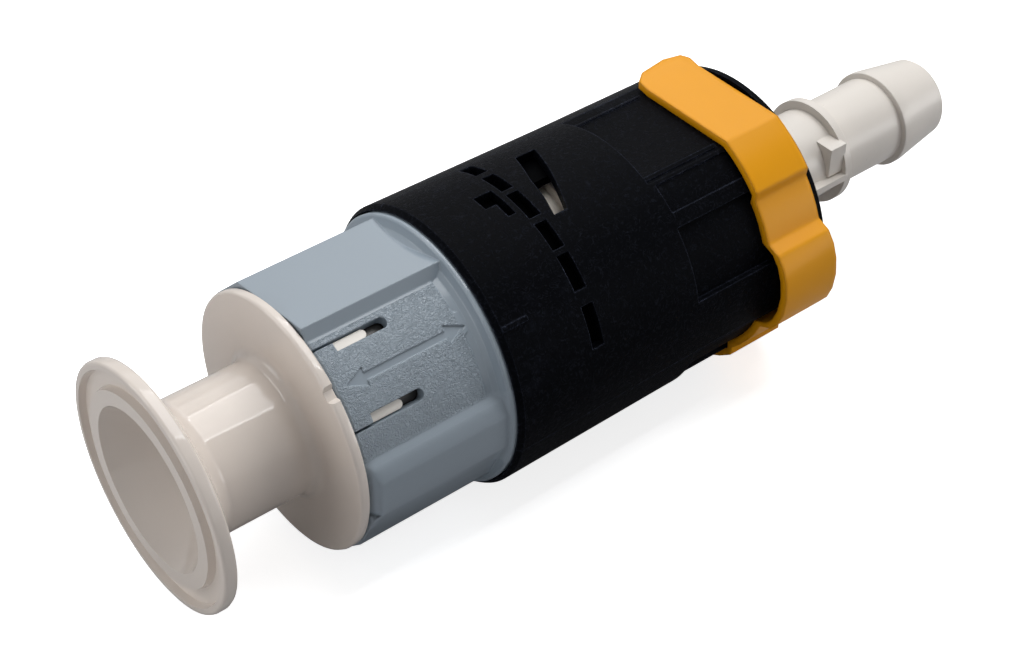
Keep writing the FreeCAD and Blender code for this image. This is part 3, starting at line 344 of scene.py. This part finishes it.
SOFT_FADE = 1.0                # degrees either way
BEVEL_SAMPLES = 4
# Painted highlight on rounded edges: the colour is painted paler where the bevel's normal leans away from
# the face's
HIGHLIGHT_FROM = 0.004            # how far an edge's normal leans, as one minus its cosine
HIGHLIGHT_FULLY = 0.10
# A seam is the normal of its plane, then the plane's offset along it
STEM_SEAM = (0.0, -0.60, 0.80, 0.0)
CLIP_SEAM = (1.0, 0.0, 0.0, CLIP_MIDDLE)
# The collar's grips are softer: their edge radius in millimetres and the angles between which it holds
GRIP_EDGE = (3.0, 73.0, 112.0)


def soft_radius(tree, crisp_edge, soft_edge, low, high):
    """A bevel radius that grows between two angles about the flow axis, the same on both sides."""
    across, up = split(tree, own_place(tree))[1:]
    turn = axis_turn(tree, across, up)
    past_high = ramp(tree, turn, high - SOFT_FADE, high + SOFT_FADE)
    inside = product(tree, ramp(tree, turn, low - SOFT_FADE, low + SOFT_FADE),
                     math_node(tree, "SUBTRACT", 1.0, past_high))
    return total(tree, product(tree, inside, (soft_edge - crisp_edge) * MM), crisp_edge * MM)


def with_seam(tree, height, seam):
    """The height with a parting line on it."""
    line = add(tree, "ShaderNodeGroup", node_tree=line_group)
    for label, value in zip(SEAM_LABELS, seam):
        line.inputs[label].default_value = value
    tree.links.new(height, line.inputs["Height"])
    return line.outputs["Height"]


def with_soft_edges(tree, colour, edge, soft_edge, edge_highlight):
    """The normal with rounded edges, and the colour painted paler on them as a painted highlight."""
    rounded = add(tree, "ShaderNodeBevel", samples=BEVEL_SAMPLES)
    radius = soft_radius(tree, edge, *soft_edge) if soft_edge else edge * MM
    feed(tree, radius, rounded.inputs["Radius"])
    normal = rounded.outputs["Normal"]
    alike = dot(tree, normal, add(tree, "ShaderNodeNewGeometry").outputs["Normal"])
    # Painted highlight: a paler colour on every rounded edge, concave or convex, where such edges would
    # catch the light
    painted_edge_highlight = ramp(tree, math_node(tree, "SUBTRACT", 1.0, alike), HIGHLIGHT_FROM, HIGHLIGHT_FULLY)
    return normal, scaled(tree, colour, total(tree, product(tree, painted_edge_highlight, edge_highlight), 1.0))


def moulded(name, colour, roughness, grain_depth, drift, swing=0.08, grain_scale=900.0, skin=None,
            edge=0.0, soft_edge=None, edge_highlight=0.05, seam=None, specular=0.5, metallic=0.0):
    """A moulded finish with its own grain and, where they show, softened edges with a painted highlight and
    a parting line.

    The grain's depth and the edges' radii are in millimetres.
    """
    material = bpy.data.materials.new(name)
    material.use_nodes = True
    tree = material.node_tree
    shader = tree.nodes["Principled BSDF"]
    grain = add(tree, "ShaderNodeGroup", node_tree=skin or grain_group)
    for label, value in (("Colour", (*colour, 1.0)), ("Roughness", roughness), ("Grain Scale", grain_scale),
                         ("Drift Amount", drift), ("Roughness Swing", swing)):
        grain.inputs[label].default_value = value
    height = grain.outputs["Height"]
    if seam:
        height = with_seam(tree, height, seam)
    bump = add(tree, "ShaderNodeBump", Strength=1.0, Distance=grain_depth * MM)
    tree.links.new(height, bump.inputs["Height"])
    base_colour = grain.outputs["Colour"]
    if edge:
        normal, base_colour = with_soft_edges(tree, base_colour, edge, soft_edge, edge_highlight)
        tree.links.new(normal, bump.inputs["Normal"])
    tree.links.new(base_colour, shader.inputs["Base Color"])
    tree.links.new(grain.outputs["Roughness"], shader.inputs["Roughness"])
    tree.links.new(bump.outputs["Normal"], shader.inputs["Normal"])
    shader.inputs["Specular IOR Level"].default_value = specular
    shader.inputs["Metallic"].default_value = metallic
    return material


cream = moulded(
    "cream_moulded_resin", (0.77, 0.695, 0.63), roughness=0.10, grain_depth=0.003, drift=0.03,
    swing=0.03, grain_scale=700.0)
stem_cream = moulded(
    "cream_stem_resin", (0.79, 0.74, 0.68), roughness=0.28, grain_depth=0.004, drift=0.02,
    swing=0.03, grain_scale=800.0, edge=0.25, seam=STEM_SEAM)
# Painted light: the carrier's cream is paler than the insert's so it stays bright in the sleeve's shade;
# its skin adds painted shade in the collar's slots
carrier_cream_painted_light_and_shade = moulded(
    "cream_carrier_painted_light_and_shade", (0.86, 0.81, 0.74), roughness=0.25, grain_depth=0.006, drift=0.03,
    swing=0.06, grain_scale=800.0, skin=carrier_shade_group, edge=0.25)
# edge_highlight sets the painted highlight on the edges of the grey and the black finishes
grey = moulded(
    "blue_grey_moulded_resin", (0.285, 0.338, 0.388), roughness=0.17, grain_depth=0.155, drift=0.03,
    swing=0.04, grain_scale=1100.0, skin=field_group, edge=0.5, soft_edge=GRIP_EDGE, edge_highlight=0.30)
black = moulded(
    "black_fibre_resin", (0.0017, 0.0020, 0.0030), roughness=0.42, grain_depth=0.080, drift=0.45,
    swing=0.3, grain_scale=1500.0, skin=fibre_group, edge=0.40, edge_highlight=8.0, specular=0.016)
# Painted shade: darker than the sleeve's black, so the drive ring seen through the windows reads as deep
# shade
black_inner_painted_shade = moulded(
    "black_inner_painted_shade_resin", (0.0008, 0.0009, 0.0012), roughness=0.5, grain_depth=0.02, drift=0.1,
    swing=0.1, grain_scale=1500.0, specular=0.006)
yellow = moulded(
    "amber_moulded_resin", (0.83, 0.348, 0.003), roughness=0.34, grain_depth=0.010, drift=0.04,
    edge=1.2, seam=CLIP_SEAM, specular=0.22)
rubber = moulded("pale_silicone", (0.50, 0.48, 0.45), roughness=0.6, grain_depth=0.01, drift=0.05)
bearing = moulded("bearing_resin", (0.62, 0.58, 0.52), roughness=0.45, grain_depth=0.01, drift=0.04)
steel = moulded("stainless_wire", (0.55, 0.55, 0.56), roughness=0.3, grain_depth=0.004, drift=0.03,
                grain_scale=1500.0, metallic=1.0)

finish_of = {
    "sanitary_insert": cream, "valve_plug": cream, "plug_spider": cream,
    "cam_carrier": carrier_cream_painted_light_and_shade,
    "barb_stem": stem_cream,
    "stem_bush": bearing, "thrust_washer": bearing,
    "lock_collar": grey,
    "sleeve_cover_shell": black, "sleeve_back_shell": black, "sleeve_end_plate": black,
    "drive_ring": black_inner_painted_shade,
    "locking_clip": yellow,
    "insert_seal_front": rubber, "insert_seal_rear": rubber, "plug_seal": rubber,
    "stem_seal": rubber, "stem_wiper": rubber,
    "retaining_ring": steel, "plug_nut": steel, "plug_washer": steel, "stem_lock_ring": steel,
}


# Smooth skins with crisp corners for the solids

MERGE_DISTANCE = 1e-6
CORNER_ANGLE = 24.0    # degrees between two faces, above which their edge stays sharp
FACE_WEIGHT = 100      # the modifier's largest value, so big faces lead the normals beside them
corner_angle_of = {"sanitary_insert": 50.0}


def make_crisp_tree():
    """Joins the triangles and keeps only real corners sharp."""
    tree = bpy.data.node_groups.new("crisp_skin", "GeometryNodeTree")
    tree.interface.new_socket(name="Geometry", in_out="INPUT", socket_type="NodeSocketGeometry")
    tree.interface.new_socket(name="Corner Angle", in_out="INPUT", socket_type=FLOAT)
    tree.interface.new_socket(name="Geometry", in_out="OUTPUT", socket_type="NodeSocketGeometry")
    start = add(tree, "NodeGroupInput")
    merge = add(tree, "GeometryNodeMergeByDistance", Distance=MERGE_DISTANCE)
    smooth = add(tree, "GeometryNodeSetShadeSmooth", domain="FACE")
    sharpen = add(tree, "GeometryNodeSetShadeSmooth", domain="EDGE", Shade_Smooth=False)
    end = add(tree, "NodeGroupOutput")
    steps = (start, merge, smooth, sharpen, end)
    for step, after in zip(steps, steps[1:]):
        tree.links.new(step.outputs["Geometry"], after.inputs["Geometry"])
    angle = add(tree, "GeometryNodeInputMeshEdgeAngle")
    sharper = add(tree, "FunctionNodeCompare", operation="GREATER_THAN")
    tree.links.new(angle.outputs["Unsigned Angle"], sharper.inputs["A"])
    tree.links.new(start.outputs["Corner Angle"], sharper.inputs["B"])
    tree.links.new(sharper.outputs["Result"], sharpen.inputs["Selection"])
    return tree


crisp_tree = make_crisp_tree()
corner_input = crisp_tree.interface.items_tree["Corner Angle"].identifier


def crisp(obj, corner_angle):
    """Smooth rounds that keep their flat neighbours flat, with real corners left sharp."""
    skin = obj.modifiers.new("crisp_skin", "NODES")
    skin.node_group = crisp_tree
    skin[corner_input] = math.radians(corner_angle)
    even = obj.modifiers.new("face_weight", "WEIGHTED_NORMAL")
    even.weight = FACE_WEIGHT
    even.keep_sharp = True


for name, obj in nodes.items():
    for slot in obj.material_slots:
        slot.material = finish_of[name]
    crisp(obj, corner_angle_of.get(name, CORNER_ANGLE))


# Floor, world, lamps and camera

FLOOR_REACH = 3.0
FLOOR_FOR_LIGHT = (0.40, 0.40, 0.41, 1.0)
FLOOR_ROUGHNESS = 0.8
FLOOR_SEEN = (0.9, 0.9, 0.9, 1.0)
FLOOR_GLOW = 0.78
WORLD_TINT = (0.93, 0.95, 1.0, 1.0)
WORLD_STRENGTH = 0.12
WORLD_SEEN_STRENGTH = 1.0

MIDDLE = (0.09, 0.0, 0.0)
BARREL = (0.015, 0.0, 0.013)
FLANGE = (0.0, 0.0, 0.0)
SHANK = (0.17, 0.0, 0.0)
# Name, place, what it points at, width across the flow axis and length along it in metres, watts
LAMPS = (
    ("key_light", (0.33, 0.11, 0.80), BARREL, 0.72, 0.70, 5.6),
    ("near_strip", (0.37, -0.25, 0.82), BARREL, 0.030, 0.60, 0.55),
    ("far_strip", (0.37, 0.50, 0.76), BARREL, 0.030, 0.60, 0.55),
    ("back_top", (0.50, 0.66, 0.56), MIDDLE, 0.40, 0.70, 0.8),
    ("side_fill", (-0.88, 0.0, 0.22), MIDDLE, 0.70, 0.50, 2.5),
    ("far_fill", (-0.70, 0.55, 0.45), FLANGE, 0.45, 0.45, 1.5),
    ("end_fill", (0.85, -0.62, 0.02), SHANK, 0.55, 0.60, 3.0),
)

# The camera of the photograph, found from ten circles on the object
PHOTO_WIDTH = 1024.0       # pixels
FOCAL_LENGTH = 2036.8      # pixels
SENSOR_WIDTH = 36.0        # millimetres
NEAR_CLIP = 0.01
CAMERA_PLACE = (-110.0 * MM - RIM_TO_FACE, -241.2 * MM, 258.4 * MM)
CAMERA_RIGHT = (0.7801, -0.6256, 0.0)
CAMERA_DOWN = (-0.4088, -0.5098, -0.7570)
CAMERA_FORWARD = (0.4736, 0.5905, -0.6534)


def make_floor(low):
    """A floor that is mid grey for the light and near white for the camera, with the object's shadow."""
    mesh = bpy.data.meshes.new("floor")
    corners = [(-FLOOR_REACH, -FLOOR_REACH, low), (FLOOR_REACH, -FLOOR_REACH, low),
               (FLOOR_REACH, FLOOR_REACH, low), (-FLOOR_REACH, FLOOR_REACH, low)]
    mesh.from_pydata(corners, [], [(0, 1, 2, 3)])
    floor = bpy.data.objects.new("floor", mesh)
    bpy.context.scene.collection.objects.link(floor)
    material = bpy.data.materials.new("pale_floor")
    material.use_nodes = True
    tree = material.node_tree
    shader = tree.nodes["Principled BSDF"]
    shader.inputs["Base Color"].default_value = FLOOR_FOR_LIGHT
    shader.inputs["Roughness"].default_value = FLOOR_ROUGHNESS
    pale = add(tree, "ShaderNodeBsdfDiffuse", Color=FLOOR_SEEN)
    glow = add(tree, "ShaderNodeEmission", Strength=FLOOR_GLOW)
    both = add(tree, "ShaderNodeAddShader")
    mix = add(tree, "ShaderNodeMixShader")
    path = add(tree, "ShaderNodeLightPath")
    tree.links.new(pale.outputs[0], both.inputs[0])
    tree.links.new(glow.outputs[0], both.inputs[1])
    tree.links.new(path.outputs["Is Camera Ray"], mix.inputs["Fac"])
    tree.links.new(shader.outputs[0], mix.inputs[1])
    tree.links.new(both.outputs[0], mix.inputs[2])
    tree.links.new(mix.outputs[0], tree.nodes["Material Output"].inputs["Surface"])
    mesh.materials.append(material)
    floor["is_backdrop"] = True


def make_world():
    """A faint sky for the light that is pale where the camera, gloss or glass shows it."""
    world = bpy.data.worlds.new("studio")
    bpy.context.scene.world = world
    world.use_nodes = True
    tree = world.node_tree
    soft = tree.nodes["Background"]
    soft.inputs["Color"].default_value = WORLD_TINT
    soft.inputs["Strength"].default_value = WORLD_STRENGTH
    seen = add(tree, "ShaderNodeBackground", Strength=WORLD_SEEN_STRENGTH)
    mix = add(tree, "ShaderNodeMixShader")
    path = add(tree, "ShaderNodeLightPath")
    rays = math_node(tree, "MAXIMUM", path.outputs["Is Camera Ray"], path.outputs["Is Transmission Ray"])
    rays = math_node(tree, "MAXIMUM", rays, path.outputs["Is Glossy Ray"])
    tree.links.new(rays, mix.inputs["Fac"])
    tree.links.new(soft.outputs[0], mix.inputs[1])
    tree.links.new(seen.outputs[0], mix.inputs[2])
    tree.links.new(mix.outputs[0], tree.nodes["World Output"].inputs["Surface"])


def softbox(name, place, target, across, along, power):
    """A rectangular lamp whose long side keeps to the flow axis."""
    lamp = bpy.data.lights.new(name, "AREA")
    lamp.shape = "RECTANGLE"
    lamp.size = across
    lamp.size_y = along
    lamp.energy = power
    obj = bpy.data.objects.new(name, lamp)
    bpy.context.scene.collection.objects.link(obj)
    place = Vector(place)
    back = (place - Vector(target)).normalized()
    flow = Vector((1.0, 0.0, 0.0))
    long_side = (flow - flow.dot(back) * back).normalized()
    turn = Matrix((long_side.cross(back), long_side, back)).transposed().to_4x4()
    obj.matrix_world = Matrix.Translation(place) @ turn


def make_camera():
    data = bpy.data.cameras.new("camera")
    data.lens = SENSOR_WIDTH * FOCAL_LENGTH / PHOTO_WIDTH
    data.sensor_width = SENSOR_WIDTH
    data.clip_start = NEAR_CLIP
    camera = bpy.data.objects.new("camera", data)
    bpy.context.scene.collection.objects.link(camera)
    right, down, forward = Vector(CAMERA_RIGHT), Vector(CAMERA_DOWN), Vector(CAMERA_FORWARD)
    turn = Matrix((right, -down, -forward)).transposed().to_4x4()
    camera.matrix_world = Matrix.Translation(Vector(CAMERA_PLACE)) @ turn
    bpy.context.scene.camera = camera


low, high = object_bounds()
make_floor(low.z)
make_world()
for lamp in LAMPS:
    softbox(*lamp)
make_camera()

bpy.context.scene.view_settings.view_transform = "Standard"

low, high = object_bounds()
